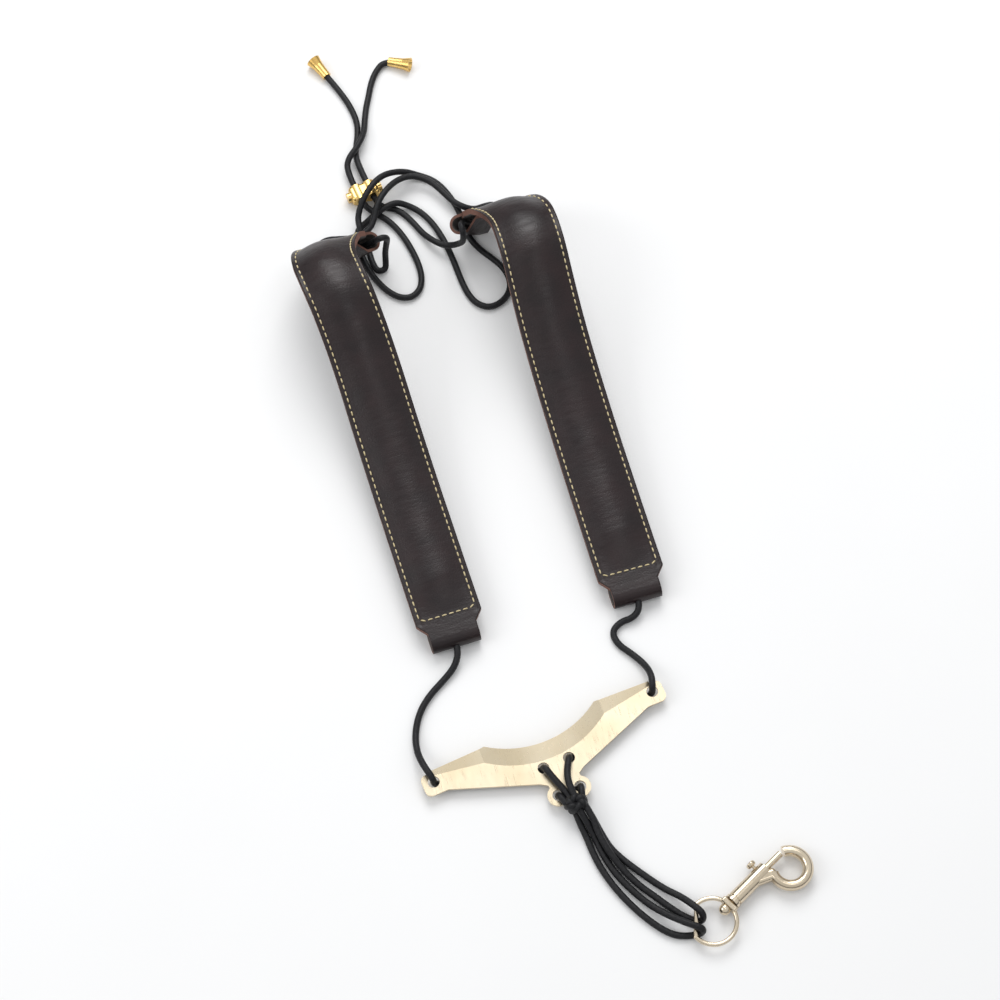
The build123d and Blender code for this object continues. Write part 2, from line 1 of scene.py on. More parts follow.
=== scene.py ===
# %% [markdown]
# # A saxophone neck strap
# A harness of two padded leather straps, black cord, a pressed metal yoke, a cord slider and a
# swivel hook. The engineered model comes first: its metal pieces stay as they are and get a
# finish, and its plain leather and cord solids are replaced by better looking pieces.
# All lengths are metres, so a millimetre is written as MM.

# %% Load the engineered model
from math import cos, pi, radians, sin

import bmesh
import bpy
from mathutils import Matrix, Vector, noise


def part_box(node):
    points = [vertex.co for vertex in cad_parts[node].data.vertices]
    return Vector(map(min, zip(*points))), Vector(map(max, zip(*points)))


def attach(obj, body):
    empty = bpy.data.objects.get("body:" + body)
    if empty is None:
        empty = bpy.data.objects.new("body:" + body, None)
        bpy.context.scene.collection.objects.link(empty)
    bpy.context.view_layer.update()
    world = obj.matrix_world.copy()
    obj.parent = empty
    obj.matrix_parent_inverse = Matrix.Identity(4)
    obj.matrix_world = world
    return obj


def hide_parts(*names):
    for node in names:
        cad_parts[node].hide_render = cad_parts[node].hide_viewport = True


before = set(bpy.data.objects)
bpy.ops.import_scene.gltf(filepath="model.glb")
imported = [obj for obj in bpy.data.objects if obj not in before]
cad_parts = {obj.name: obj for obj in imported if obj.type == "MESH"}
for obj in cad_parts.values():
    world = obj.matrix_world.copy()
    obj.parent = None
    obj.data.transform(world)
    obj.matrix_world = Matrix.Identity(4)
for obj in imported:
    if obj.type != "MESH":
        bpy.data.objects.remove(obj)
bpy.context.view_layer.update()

MM = 0.001

# %% [markdown]
# ## Camera
# A product is usually shown from above and in front with a long lens, which keeps the two
# straps nearly parallel. The camera is placed first, because everything is judged through it.

# %% Camera above the hook end
ELEVATION = radians(65)
TURN = radians(17.3)
DISTANCE = 1.5
LOOK_AT = Vector((-0.002, 0.031, 0.0))
FIELD = radians(21.7)

ahead = Vector((sin(TURN), cos(TURN), 0))
camera_data = bpy.data.cameras.new("camera")
camera_data.sensor_width = 36
camera_data.angle = FIELD
camera = bpy.data.objects.new("camera", camera_data)
bpy.context.scene.collection.objects.link(camera)
camera.location = LOOK_AT + DISTANCE * (Vector((0, 0, sin(ELEVATION))) - ahead * cos(ELEVATION))
camera.rotation_euler = (LOOK_AT - camera.location).to_track_quat("-Z", "Y").to_euler()
bpy.context.scene.camera = camera
bpy.context.scene.view_settings.view_transform = "Standard"
print("camera at", [round(c, 3) for c in camera.location], "lens", round(camera_data.lens, 1))

# %% [markdown]
# ## How a finish is built
# Each finish is a small chain of nodes. A noise picks between two shades, so that no surface
# is one flat colour, and a second, finer noise feeds Bump, which bends the light as a grain
# would. Object coordinates are metres here, so a noise scale of 1000 gives 1 mm grains.

# %% Helper that starts a finish
def new_finish(name, roughness, metal=0.0):
    """Empty material with a Principled shader."""
    finish = bpy.data.materials.new(name)
    finish.use_nodes = True
    shader = finish.node_tree.nodes["Principled BSDF"]
    shader.inputs["Roughness"].default_value = roughness
    shader.inputs["Metallic"].default_value = metal
    return finish, finish.node_tree, shader


def add_shades(tree, shader, dark, light, scale, detail=4.0):
    """Colour that wanders between two shades."""
    place = tree.nodes.new("ShaderNodeTexCoord")
    mottle = tree.nodes.new("ShaderNodeTexNoise")
    mottle.inputs["Scale"].default_value = scale
    mottle.inputs["Detail"].default_value = detail
    ramp = tree.nodes.new("ShaderNodeValToRGB")
    ramp.color_ramp.elements[0].position = 0.35
    ramp.color_ramp.elements[1].position = 0.65
    ramp.color_ramp.elements[0].color = (*dark, 1)
    ramp.color_ramp.elements[1].color = (*light, 1)
    tree.links.new(place.outputs["Object"], mottle.inputs["Vector"])
    tree.links.new(mottle.outputs["Fac"], ramp.inputs["Fac"])
    tree.links.new(ramp.outputs["Color"], shader.inputs["Base Color"])
    return place, mottle


def add_bump(tree, shader, height, distance, strength=1.0, below=None):
    """Bump from a height output, on top of another bump if there is one."""
    bump = tree.nodes.new("ShaderNodeBump")
    bump.inputs["Strength"].default_value = strength
    bump.inputs["Distance"].default_value = distance
    tree.links.new(height, bump.inputs["Height"])
    if below:
        tree.links.new(below.outputs["Normal"], bump.inputs["Normal"])
    tree.links.new(bump.outputs["Normal"], shader.inputs["Normal"])
    return bump


def add_roughness(tree, shader, source, low, high):
    """Roughness that follows a noise between two values."""
    spread = tree.nodes.new("ShaderNodeMapRange")
    spread.inputs["From Min"].default_value = 0.3
    spread.inputs["From Max"].default_value = 0.7
    spread.inputs["To Min"].default_value = low
    spread.inputs["To Max"].default_value = high
    tree.links.new(source, spread.inputs["Value"])
    tree.links.new(spread.outputs["Result"], shader.inputs["Roughness"])

# %% [markdown]
# ## Cord finish
# The cord is a tight black braid over a core, about 3.8 mm thick. Its pattern is two sets of
# fine diagonal bands. A curve made into a tube has U along it and V round it, so the bands
# are drawn in those coordinates, and each cord gets bands of the same real size.

# %% Braided cord
BRAID_PITCH = 3.0 * MM
BRAID_STRANDS = 8


def braided_cord(name, length):
    """Black braid with bands of one pitch, whatever the cord's length."""
    finish, tree, shader = new_finish(f"braided_{name}", 0.5)
    place, mottle = add_shades(tree, shader, (0.004, 0.004, 0.005), (0.010, 0.010, 0.012), 900)
    bands = []
    for direction in (-1, 1):
        mapping = tree.nodes.new("ShaderNodeMapping")
        mapping.inputs["Scale"].default_value = (length / BRAID_PITCH, direction * BRAID_STRANDS / 2, 1)
        wave = tree.nodes.new("ShaderNodeTexWave")
        wave.bands_direction = "DIAGONAL"
        wave.inputs["Scale"].default_value = 0.5
        wave.inputs["Distortion"].default_value = 0.4
        tree.links.new(place.outputs["UV"], mapping.inputs["Vector"])
        tree.links.new(mapping.outputs["Vector"], wave.inputs["Vector"])
        bands.append(wave)
    woven = tree.nodes.new("ShaderNodeMath")
    woven.operation = "MAXIMUM"
    tree.links.new(bands[0].outputs["Fac"], woven.inputs[0])
    tree.links.new(bands[1].outputs["Fac"], woven.inputs[1])
    first = add_bump(tree, shader, woven.outputs[0], 0.12 * MM, 0.6)
    add_bump(tree, shader, mottle.outputs["Fac"], 0.1 * MM, 0.5, below=first)
    shader.inputs["Sheen Weight"].default_value = 0.04
    shader.inputs["Specular IOR Level"].default_value = 0.3
    shader.inputs["Sheen Roughness"].default_value = 0.4
    return finish

# %% [markdown]
# ## Cords
# Every cord is a fixed length of a limp braid that lies on the table and climbs over whatever
# is in its way. A NURBS spline is drawn near its control points without touching them, which
# gives the loose, even bends of real cord. The heights keep one cord above another where they
# cross. The rear cord is one cord on the real strap, threaded through both rear tabs, so its
# three stretches meet inside the tabs.

# %% Routes of the cords
CORD = 3.8 * MM
ROUTES = {
    "front_cord_left": [
        (-0.0523, -0.0466, 0.0058), (-0.0524, -0.0536, 0.0057), (-0.057, -0.0609, 0.0034),
        (-0.065, -0.0662, 0.002), (-0.0745, -0.072, 0.002), (-0.083, -0.08, 0.002),
        (-0.0888, -0.0905, 0.002), (-0.0913, -0.101, 0.0032), (-0.091, -0.112, 0.0093),
        (-0.0878, -0.1224, 0.01), (-0.0877, -0.1228, 0.002), (-0.0775, -0.127, 0.002),
        (-0.06, -0.1298, 0.002), (-0.0425, -0.1312, 0.002), (-0.0284, -0.1333, 0.002),
        (-0.0282, -0.133, 0.0095), (-0.0248, -0.142, 0.009), (-0.0213, -0.1493, 0.0084),
        (-0.0199, -0.1546, 0.0081),
    ],
    "front_cord_right": [
        (0.053, -0.0512, 0.0058), (0.053, -0.058, 0.0057), (0.0477, -0.0626, 0.0038),
        (0.0398, -0.0622, 0.0021), (0.0332, -0.0666, 0.002), (0.0342, -0.0748, 0.002),
        (0.04, -0.0825, 0.002), (0.0446, -0.091, 0.0032), (0.0452, -0.1, 0.0089),
        (0.043, -0.108, 0.0098), (0.0428, -0.1085, 0.002), (0.0315, -0.1122, 0.002),
        (0.016, -0.119, 0.002), (0.0005, -0.127, 0.002), (-0.0129, -0.1318, 0.002),
        (-0.01305, -0.1314, 0.0099), (-0.0174, -0.1405, 0.0106), (-0.0184, -0.1482, 0.0114),
        (-0.0174, -0.155, 0.0109),
    ],
    "yoke_loop": [
        (-0.0226, -0.1578, 0.0087), (-0.0253, -0.1506, 0.0094), (-0.02515, -0.1502, 0.002),
        (-0.0122, -0.1488, 0.002), (-0.012, -0.1492, 0.0096), (-0.0134, -0.1555, 0.0088),
    ],
    "hook_loop_left": [
        (-0.0193, -0.1596, 0.0059), (-0.0188, -0.167, 0.0039), (-0.0174, -0.176, 0.002),
        (-0.0168, -0.187, 0.002), (-0.0148, -0.198, 0.002), (-0.0108, -0.21, 0.002),
        (-0.0048, -0.2225, 0.002), (0.0026, -0.234, 0.002), (0.01, -0.2418, 0.002),
        (0.0176, -0.2446, 0.002), (0.0249, -0.2452, 0.002), (0.0253, -0.2443, 0.0087),
        (0.0186, -0.2396, 0.0087), (0.0106, -0.2316, 0.0052), (0.003, -0.2222, 0.0022),
        (-0.0034, -0.2118, 0.002), (-0.0088, -0.2006, 0.002), (-0.0119, -0.189, 0.002),
        (-0.0132, -0.1775, 0.0026), (-0.0156, -0.1676, 0.0076), (-0.018, -0.1596, 0.0098),
    ],
    "hook_loop_right": [
        (-0.014, -0.1596, 0.0098), (-0.0115, -0.1676, 0.0086), (-0.011, -0.1775, 0.0062),
        (-0.009, -0.1884, 0.0052), (-0.0044, -0.2, 0.003), (0.0012, -0.2104, 0.002),
        (0.0077, -0.2191, 0.002), (0.0134, -0.2274, 0.002), (0.02, -0.2352, 0.002),
        (0.0269, -0.2395, 0.002), (0.0281, -0.2369, 0.0087), (0.0245, -0.2309, 0.0087),
        (0.02, -0.2232, 0.0046), (0.0134, -0.216, 0.002), (0.006, -0.2064, 0.002),
        (-0.0014, -0.196, 0.002), (-0.007, -0.1864, 0.002), (-0.0092, -0.1768, 0.0022),
        (-0.011, -0.1672, 0.004), (-0.013, -0.1596, 0.0059),
    ],
    "rear_cord_right": [
        (-0.0209, 0.344, 0.0036), (-0.0176, 0.3357, 0.0025), (-0.0146, 0.3274, 0.002),
        (-0.012, 0.3186, 0.002), (-0.0104, 0.3096, 0.002), (-0.0101, 0.301, 0.002),
        (-0.0121, 0.2925, 0.002), (-0.0154, 0.2846, 0.002), (-0.0176, 0.2778, 0.0028),
        (-0.018, 0.2696, 0.0044), (-0.0152, 0.2424, 0.0044), (-0.0114, 0.237, 0.0026),
        (-0.0054, 0.235, 0.002), (-0.0008, 0.2294, 0.002), (0.0028, 0.2218, 0.002),
        (0.0058, 0.213, 0.0026), (0.01, 0.2044, 0.0056), (0.0152, 0.1986, 0.0068),
        (0.02, 0.196, 0.009), (0.0234, 0.1934, 0.0136), (0.0248, 0.1912, 0.0186),
        (0.025, 0.1906, 0.0242), (0.0251, 0.1914, 0.0284), (0.0253, 0.1949, 0.03),
        (0.0258, 0.1982, 0.028), (0.0287, 0.2014, 0.021), (0.032, 0.2035, 0.0146),
    ],
    "rear_cord_middle": [
        (0.032, 0.2035, 0.0146), (0.0357, 0.206, 0.0091), (0.0402, 0.2085, 0.0029),
        (0.0464, 0.2112, 0.002), (0.0526, 0.2107, 0.002), (0.0564, 0.2152, 0.002),
        (0.053, 0.2202, 0.002), (0.0468, 0.2206, 0.002), (0.0404, 0.219, 0.0036),
        (0.0338, 0.2212, 0.0066), (0.0288, 0.2272, 0.0064), (0.0253, 0.2353, 0.0062),
        (0.021, 0.2436, 0.0062), (0.015, 0.2492, 0.0066), (0.008, 0.2512, 0.008),
        (0.0001, 0.249, 0.0098), (-0.007, 0.2438, 0.0124), (-0.0132, 0.2382, 0.0128),
        (-0.0174, 0.2326, 0.0118), (-0.0202, 0.2268, 0.0098), (-0.0254, 0.2208, 0.0086),
        (-0.0356, 0.2188, 0.008), (-0.0436, 0.2234, 0.0038), (-0.0504, 0.2262, 0.002),
        (-0.0566, 0.2238, 0.002), (-0.0573, 0.2177, 0.002), (-0.0514, 0.2152, 0.002),
        (-0.0424, 0.2129, 0.0028), (-0.0383, 0.2102, 0.0088), (-0.0349, 0.2078, 0.0146),
    ],
    "rear_cord_left": [
        (-0.0349, 0.2078, 0.0146), (-0.0312, 0.2052, 0.0194), (-0.0268, 0.2032, 0.0246),
        (-0.025, 0.2022, 0.028), (-0.0218, 0.2014, 0.03), (-0.0189, 0.202, 0.0276),
        (-0.0186, 0.203, 0.0226), (-0.0196, 0.2028, 0.0166), (-0.0206, 0.2018, 0.0106),
        (-0.021, 0.2, 0.0054), (-0.0222, 0.196, 0.002), (-0.0272, 0.1958, 0.002),
        (-0.0287, 0.202, 0.002), (-0.0284, 0.211, 0.002), (-0.0289, 0.2186, 0.002),
        (-0.0298, 0.225, 0.0064), (-0.0292, 0.2318, 0.0072), (-0.0262, 0.2369, 0.0104),
        (-0.0212, 0.2424, 0.0138), (-0.0144, 0.2489, 0.0138), (-0.0072, 0.2536, 0.0122),
        (0.0004, 0.2555, 0.0096), (0.008, 0.2556, 0.0062), (0.015, 0.2532, 0.0024),
        (0.021, 0.249, 0.002), (0.0254, 0.2432, 0.002), (0.0286, 0.2352, 0.002),
        (0.0308, 0.2262, 0.002), (0.0316, 0.2174, 0.002), (0.031, 0.209, 0.002),
        (0.0322, 0.2004, 0.002), (0.036, 0.1916, 0.002), (0.0412, 0.184, 0.002),
        (0.0454, 0.176, 0.002), (0.0468, 0.1668, 0.002), (0.0436, 0.1586, 0.002),
        (0.0366, 0.1534, 0.002), (0.0286, 0.1526, 0.002), (0.0224, 0.1578, 0.002),
        (0.0196, 0.166, 0.002), (0.0186, 0.1764, 0.002), (0.0183, 0.188, 0.002),
        (0.0176, 0.1986, 0.002), (0.0162, 0.2084, 0.002), (0.0136, 0.2186, 0.002),
        (0.0094, 0.2276, 0.002), (0.0034, 0.234, 0.0026), (-0.0038, 0.2368, 0.0062),
        (-0.0128, 0.2344, 0.0068), (-0.019, 0.232, 0.0058), (-0.0244, 0.2302, 0.0026),
        (-0.0298, 0.2282, 0.002), (-0.033, 0.222, 0.002), (-0.0334, 0.2134, 0.002),
        (-0.033, 0.2046, 0.002), (-0.0318, 0.1962, 0.002), (-0.029, 0.1884, 0.002),
        (-0.0252, 0.1808, 0.002), (-0.0198, 0.1748, 0.002), (-0.013, 0.1728, 0.002),
        (-0.0068, 0.1762, 0.002), (-0.0034, 0.1832, 0.002), (-0.0024, 0.1916, 0.002),
        (-0.0032, 0.2022, 0.002), (-0.0053, 0.2131, 0.002), (-0.0086, 0.223, 0.002),
        (-0.013, 0.2304, 0.002), (-0.0186, 0.2362, 0.0024), (-0.0232, 0.2428, 0.0044),
        (-0.0259, 0.2686, 0.0044), (-0.0228, 0.275, 0.0062), (-0.017, 0.2798, 0.0066),
        (-0.012, 0.2854, 0.0064), (-0.008, 0.2922, 0.004), (-0.0054, 0.3002, 0.002),
        (-0.0022, 0.309, 0.002), (0.002, 0.3174, 0.002), (0.0058, 0.3256, 0.002),
        (0.0106, 0.333, 0.002), (0.0184, 0.3394, 0.0025), (0.0261, 0.3346, 0.0036),
    ],
}
print("control points", {name: len(points) for name, points in ROUTES.items()})

# %% [markdown]
# ## Knots
# The cords of the yoke and hook end in one tied knot, and each front tab hides a small one.
# A real knot is cord that passes over and under itself. The simplest closed curve that does so
# is the trefoil, so a round tube is drawn along a trefoil and squeezed to the knot's size. The big
# knot holds eight cord ends, so a second trefoil, turned half way round, fills its gaps.

# %% Tube along a closed curve
def tube_mesh(name, path, radius, sides=14):
    """Closed tube around a loop of points."""
    mesh = bmesh.new()
    rings = []
    count = len(path)
    up = Vector((0, 0, 1))
    for i, point in enumerate(path):
        along = (path[(i + 1) % count] - path[i - 1]).normalized()
        side = along.cross(up).normalized()
        lift = side.cross(along)
        ring = []
        for k in range(sides):
            angle = 2 * pi * k / sides
            ring.append(mesh.verts.new(point + radius * (side * cos(angle) + lift * sin(angle))))
        rings.append(ring)
    for i in range(count):
        for k in range(sides):
            a, b = rings[i], rings[(i + 1) % count]
            face = mesh.faces.new((a[k], a[(k + 1) % sides], b[(k + 1) % sides], b[k]))
            face.smooth = True
    bmesh.ops.recalc_face_normals(mesh, faces=mesh.faces)
    return finished_piece(name, mesh)


def finished_piece(name, mesh):
    """Object from a bmesh, on the strap's body."""
    data = bpy.data.meshes.new(name)
    mesh.to_mesh(data)
    mesh.free()
    piece = bpy.data.objects.new(name, data)
    bpy.context.scene.collection.objects.link(piece)
    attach(piece, "strap")
    return piece


KNOT_POINTS = 120
KNOT_CORD = 0.06            # length of cord in a knot, which sets the size of its braid


def tie_knot(node, label, turn):
    """Trefoil knot of cord that fills the node's box, turned about its middle."""
    low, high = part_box(node)
    low, high = Vector(low), Vector(high)
    centre = (low + high) / 2
    half = (high - low) / 2
    thick = min(CORD / 2, 0.45 * min(half))
    room = half - Vector((thick, thick, thick))
    path = []
    for i in range(KNOT_POINTS):
        t = 2 * pi * i / KNOT_POINTS
        x = (sin(t) + 2 * sin(2 * t)) / 3
        y = (cos(t) - 2 * cos(2 * t)) / 3
        wide = x * cos(turn) - y * sin(turn)
        deep = x * sin(turn) + y * cos(turn)
        path.append(centre + Vector((wide * room.x, deep * room.y, -sin(3 * t) * room.z)))
    piece = tube_mesh(node + label, path, thick)
    piece.data.materials.append(braided_cord(node, KNOT_CORD))
    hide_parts(node)
    return piece


KNOTS = (("hook_knot", "_tied", 0.6), ("hook_knot", "_second_turn", 0.6 + pi),
         ("front_knot_left", "_tied", 0.0), ("front_knot_right", "_tied", 0.3))
tied = {}
for node, label, turn in KNOTS:
    knot = tie_knot(node, label, turn)
    tied.setdefault(node, []).append(knot)
    print(knot.name, len(knot.data.vertices), "points")

# %% Cords as NURBS tubes
LENGTHS = {
    "front_cord_left": 0.187, "front_cord_right": 0.169, "yoke_loop": 0.036,
    "hook_loop_left": 0.210, "hook_loop_right": 0.189,
    "rear_cord_right": 0.210, "rear_cord_middle": 0.216, "rear_cord_left": 0.658,
}
STARTS_AT_FITTING = ("rear_cord_right",)


def lay_cord(name):
    """Round cord along its route, with braid bands sized from its real length."""
    points = ROUTES[name]
    if name in STARTS_AT_FITTING:
        points = list(reversed(points))
    curve = bpy.data.curves.new(name, "CURVE")
    curve.dimensions = "3D"
    curve.resolution_u = 10
    curve.bevel_depth = CORD / 2
    curve.bevel_resolution = 5
    curve.use_fill_caps = True
    spline = curve.splines.new("NURBS")
    spline.points.add(len(points) - 1)
    for control, point in zip(spline.points, points):
        control.co = (*point, 1)
    spline.order_u = 3
    spline.use_endpoint_u = True
    cord = bpy.data.objects.new(name + "_braid", curve)
    bpy.context.scene.collection.objects.link(cord)
    curve.materials.append(braided_cord(name, LENGTHS[name]))
    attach(cord, "strap")
    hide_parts(name)
    return cord


cords = {name: lay_cord(name) for name in ROUTES}
print("cords", len(cords))

# %% [markdown]
# ## Leather finishes
# The face is smooth, nearly black leather with a broad soft shine, fine pores and faint
# wrinkles where the strap bends. Its cut edges show the raw reddish brown hide, and the
# backing is a soft grey suede. Voronoi cells make believable pores, because leather grain is
# a network of small rounded plates.

# %% Face leather
def leather_finish(name, dark, light, roughness, pore, depth):
    """Leather with pores of a given size and softly mottled colour."""
    finish, tree, shader = new_finish(name, roughness)
    place, mottle = add_shades(tree, shader, dark, light, 60)
    pores = tree.nodes.new("ShaderNodeTexVoronoi")
    pores.feature = "SMOOTH_F1"
    pores.inputs["Scale"].default_value = 1 / pore
    wrinkles = tree.nodes.new("ShaderNodeTexNoise")
    wrinkles.inputs["Detail"].default_value = 5
    stretch = tree.nodes.new("ShaderNodeMapping")
    stretch.inputs["Scale"].default_value = (90, 420, 420)
    wrinkles.inputs["Scale"].default_value = 1
    tree.links.new(place.outputs["Object"], pores.inputs["Vector"])
    tree.links.new(place.outputs["Object"], stretch.inputs["Vector"])
    tree.links.new(stretch.outputs["Vector"], wrinkles.inputs["Vector"])
    first = add_bump(tree, shader, pores.outputs["Distance"], depth, 0.5)
    add_bump(tree, shader, wrinkles.outputs["Fac"], depth * 3, 0.35, below=first)
    add_roughness(tree, shader, wrinkles.outputs["Fac"], roughness - 0.06, roughness + 0.1)
    shader.inputs["Specular IOR Level"].default_value = 0.4
    return finish


face_leather = leather_finish("face_leather", (0.0070, 0.0022, 0.0028), (0.014, 0.0050, 0.0056),
                              0.36, 0.9 * MM, 0.12 * MM)
raw_edge = leather_finish("raw_edge", (0.10, 0.045, 0.032), (0.20, 0.10, 0.075),
                          0.8, 0.5 * MM, 0.2 * MM)
suede = leather_finish("grey_suede", (0.09, 0.082, 0.078), (0.16, 0.148, 0.14),
                       0.9, 0.4 * MM, 0.15 * MM)
print("leathers", face_leather.name, raw_edge.name, suede.name)

# %% [markdown]
# ## Shoulder straps
# Each strap is one long strip of leather, padded along the middle and folded into a tunnel at
# both ends. A strip like this is best made as a sweep: frames are placed every millimetre
# along it, each with a point, the way along, the way across and the way out, and a section is
# drawn in each frame. Cloth simulation is meant for cushions and would melt a strap this
# flat, so the crown of the foam, the pull of the seam and the wrinkles are worked out instead.

# %% Measurements of a strap
STRAP_WIDTH = 38 * MM
TAB_WIDTH = 28 * MM
LEATHER = 1.6 * MM
BACKING = 1.6 * MM
CROWN = 3.4 * MM
CROWN_HALF = 15.4 * MM
TUNNEL_RADIUS = 4.2 * MM
FLAP = 15 * MM
TAB_LENGTH = 4 * MM
SHOULDER = 6 * MM
BODY_LENGTH = 268 * MM
SEAM_INSET = 2.7 * MM
STITCH_PITCH = 4.1 * MM
STEP = 1 * MM
STRAP_LENGTH = BODY_LENGTH + 2 * (TAB_LENGTH + SHOULDER)

PADS = {"left": (-0.0523, -0.0447, 0.7, 1), "right": (0.0530, -0.0492, -0.9, -1)}
SLOPES = [(0, 0), (20, 2.85), (75, 5), (130, 12.5), (184, 24), (202, 24), (270, -68), (320, -68)]
LEANS = {
    "left": [(0, 0), (150, 0), (212, -6), (234, -2), (286, 60)],
    "right": [(0, 0), (150, 0), (212, -2), (232, 0), (286, 58)],
}

# %% Frames along a strap
def between(table, distance):
    """Value of a table at a distance in metres, straight between its rows."""
    s = distance / MM
    for (s0, v0), (s1, v1) in zip(table, table[1:]):
        if s <= s1:
            return v0 + (v1 - v0) * (s - s0) / (s1 - s0)
    return table[-1][1]


def half_width(s):
    """Half width of the strap, narrow at both tabs, with softened shoulders."""
    end = min(s, STRAP_LENGTH - s)
    share = min(1, max(0, (end - TAB_LENGTH) / SHOULDER))
    return TAB_WIDTH / 2 + (STRAP_WIDTH - TAB_WIDTH) / 2 * share


def strap_frames(side):
    """Frames (s, point, along, across, out) every millimetre from front to rear."""
    x, y, yaw, inward = PADS[side]
    heading = Vector((-sin(radians(yaw)), cos(radians(yaw)), 0))
    level = Vector((cos(radians(yaw)), sin(radians(yaw)), 0))
    up = Vector((0, 0, 1))
    point = Vector((x, y, LEATHER + 2 * TUNNEL_RADIUS))
    frames = []
    for i in range(round(STRAP_LENGTH / STEP) + 1):
        s = i * STEP
        slope = radians(between(SLOPES, s))
        lean = radians(between(LEANS[side], s)) * inward
        downhill = heading * cos(slope) + up * sin(slope)
        out = up * cos(slope) - heading * sin(slope)
        along = downhill * cos(lean) + level * sin(lean)
        across = level * cos(lean) - downhill * sin(lean)
        frames.append((s, point.copy(), along, across, out))
        point = point + along * STEP
    return frames


def flipped(place):
    """The same frame looking the other way along the strap."""
    s, point, along, across, out = place
    return (s, point, -along, -across, out)


FOLD_STEP = 8               # degrees between frames round a fold


def folded_under(end):
    """Frames of a tab folded round its tunnel, beyond the end frame."""
    s, point, along, across, out = end
    centre = point - out * TUNNEL_RADIUS
    frames = []
    for degrees in range(FOLD_STEP, 181, FOLD_STEP):
        a = radians(degrees)
        new_out = out * cos(a) + along * sin(a)
        new_along = along * cos(a) - out * sin(a)
        frames.append((s, centre + new_out * TUNNEL_RADIUS, new_along, across, new_out))
    s, point, along, across, out = frames[-1]
    rise = 2 * TUNNEL_RADIUS - BACKING - 0.4 * MM
    for distance, sink in ((5 * MM, 0), (FLAP - 3 * MM, rise), (FLAP, rise)):
        frames.append((s, point + along * distance - out * sink, along, across, out))
    return frames


runs = {side: strap_frames(side) for side in PADS}
print("frames in a strap", len(runs["left"]), "highest", round(max(f[1].z for f in runs["left"]), 3))

# %% [markdown]
# The section's top line is where the padding shows: a soft crown between the seams and a slight
# dip where the thread pulls the leather down. A little noise in the height keeps it from looking
# machined.

# %% Sweep the face leather
ACROSS_STEPS = 44
CROWN_GAP = 1 * MM          # from the strap's shoulder to the start of the padding
CROWN_RAMP = 26 * MM        # length over which the padding swells to its full height
SEAM_DIP = 0.38 * MM
SEAM_DIP_WIDTH = 0.9 * MM
DIP_FALL = 2.72             # how fast the dip fades beside the seam
WEAR = 0.22 * MM


def crown_at(s):
    """Height of the padding, which tapers away before each tab."""
    end = min(s, STRAP_LENGTH - s) - TAB_LENGTH - SHOULDER - CROWN_GAP
    share = min(1, max(0, end / CROWN_RAMP))
    return CROWN * (3 * share * share - 2 * share ** 3)


def top_height(s, a, half):
    """Height of the face above the strap's neutral surface."""
    u = min(1, abs(a) / CROWN_HALF)
    bulge = crown_at(s) * (1 - u ** 2) ** 1.3
    seam = half - SEAM_INSET
    dip = SEAM_DIP * DIP_FALL ** (-((abs(a) - seam) / SEAM_DIP_WIDTH) ** 2)
    if crown_at(s) < 0.2 * CROWN and abs(a) > seam - 2 * MM and half < STRAP_WIDTH / 2:
        dip = 0
    worn = noise.noise(Vector((s * 60, a * 90, 3))) * WEAR
    return LEATHER + bulge - dip + worn * (bulge / CROWN + 0.2)


def sweep_strip(name, run, bottom, top, first_finish, edge_finish, lower_finish):
    """Strip between a bottom and a top height, with its own edge finish."""
    mesh = bmesh.new()
    rows = []
    for place in run:
        s, point, along, across, out = place
        half = half_width(s)
        ring = []
        for k in range(ACROSS_STEPS + 1):
            a = half * (2 * k / ACROSS_STEPS - 1)
            ring.append(point + across * a + out * top(s, a, half))
        for k in range(ACROSS_STEPS, -1, -1):
            a = half * (2 * k / ACROSS_STEPS - 1)
            ring.append(point + across * a + out * bottom(s, a, half))
        rows.append([mesh.verts.new(p) for p in ring])
    count = len(rows[0])
    for lower, upper in zip(rows, rows[1:]):
        for k in range(count):
            following = (k + 1) % count
            face = mesh.faces.new((lower[k], lower[following], upper[following], upper[k]))
            on_edge = k in (ACROSS_STEPS, count - 1)
            face.smooth = not on_edge
            face.material_index = 1 if on_edge else (0 if k < ACROSS_STEPS else 2)
    for cap in (rows[0], rows[-1]):
        face = mesh.faces.new(cap)
        face.material_index = 1
    bmesh.ops.recalc_face_normals(mesh, faces=mesh.faces)
    piece = finished_piece(name, mesh)
    for finish in (first_finish, edge_finish, lower_finish):
        piece.data.materials.append(finish)
    return piece


def face_run(side):
    """All frames of the face leather, both folds included."""
    frames = runs[side]
    front = flipped(frames[0])
    folded = [flipped(place) for place in reversed(folded_under(front))]
    return folded + frames + folded_under(frames[-1])


def under_padding(s, a, half):
    """Hollow below the face leather, where the foam lies."""
    return max(0, top_height(s, a, half) - LEATHER)


for side in PADS:
    face = sweep_strip(f"padded_face_{side}", face_run(side), under_padding, top_height,
                       face_leather, raw_edge, suede)
    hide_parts(f"outer_leather_{side}", f"foam_core_{side}")
    print(face.name, len(face.data.vertices), "points")

# %% [markdown]
# ## Backing
# A second leather closes the strap from below, flush with the face leather at its edges. The
# two layers show as two lines along the side, so the backing is a separate strip.

# %% Backing leather
def backing_top(s, a, half):
    """The backing meets the face leather at the edge."""
    return 0.0


def backing_bottom(s, a, half):
    """Lower face, a little uneven as suede is."""
    return -BACKING + 0.1 * MM * noise.noise(Vector((s * 80, a * 80, 9)))


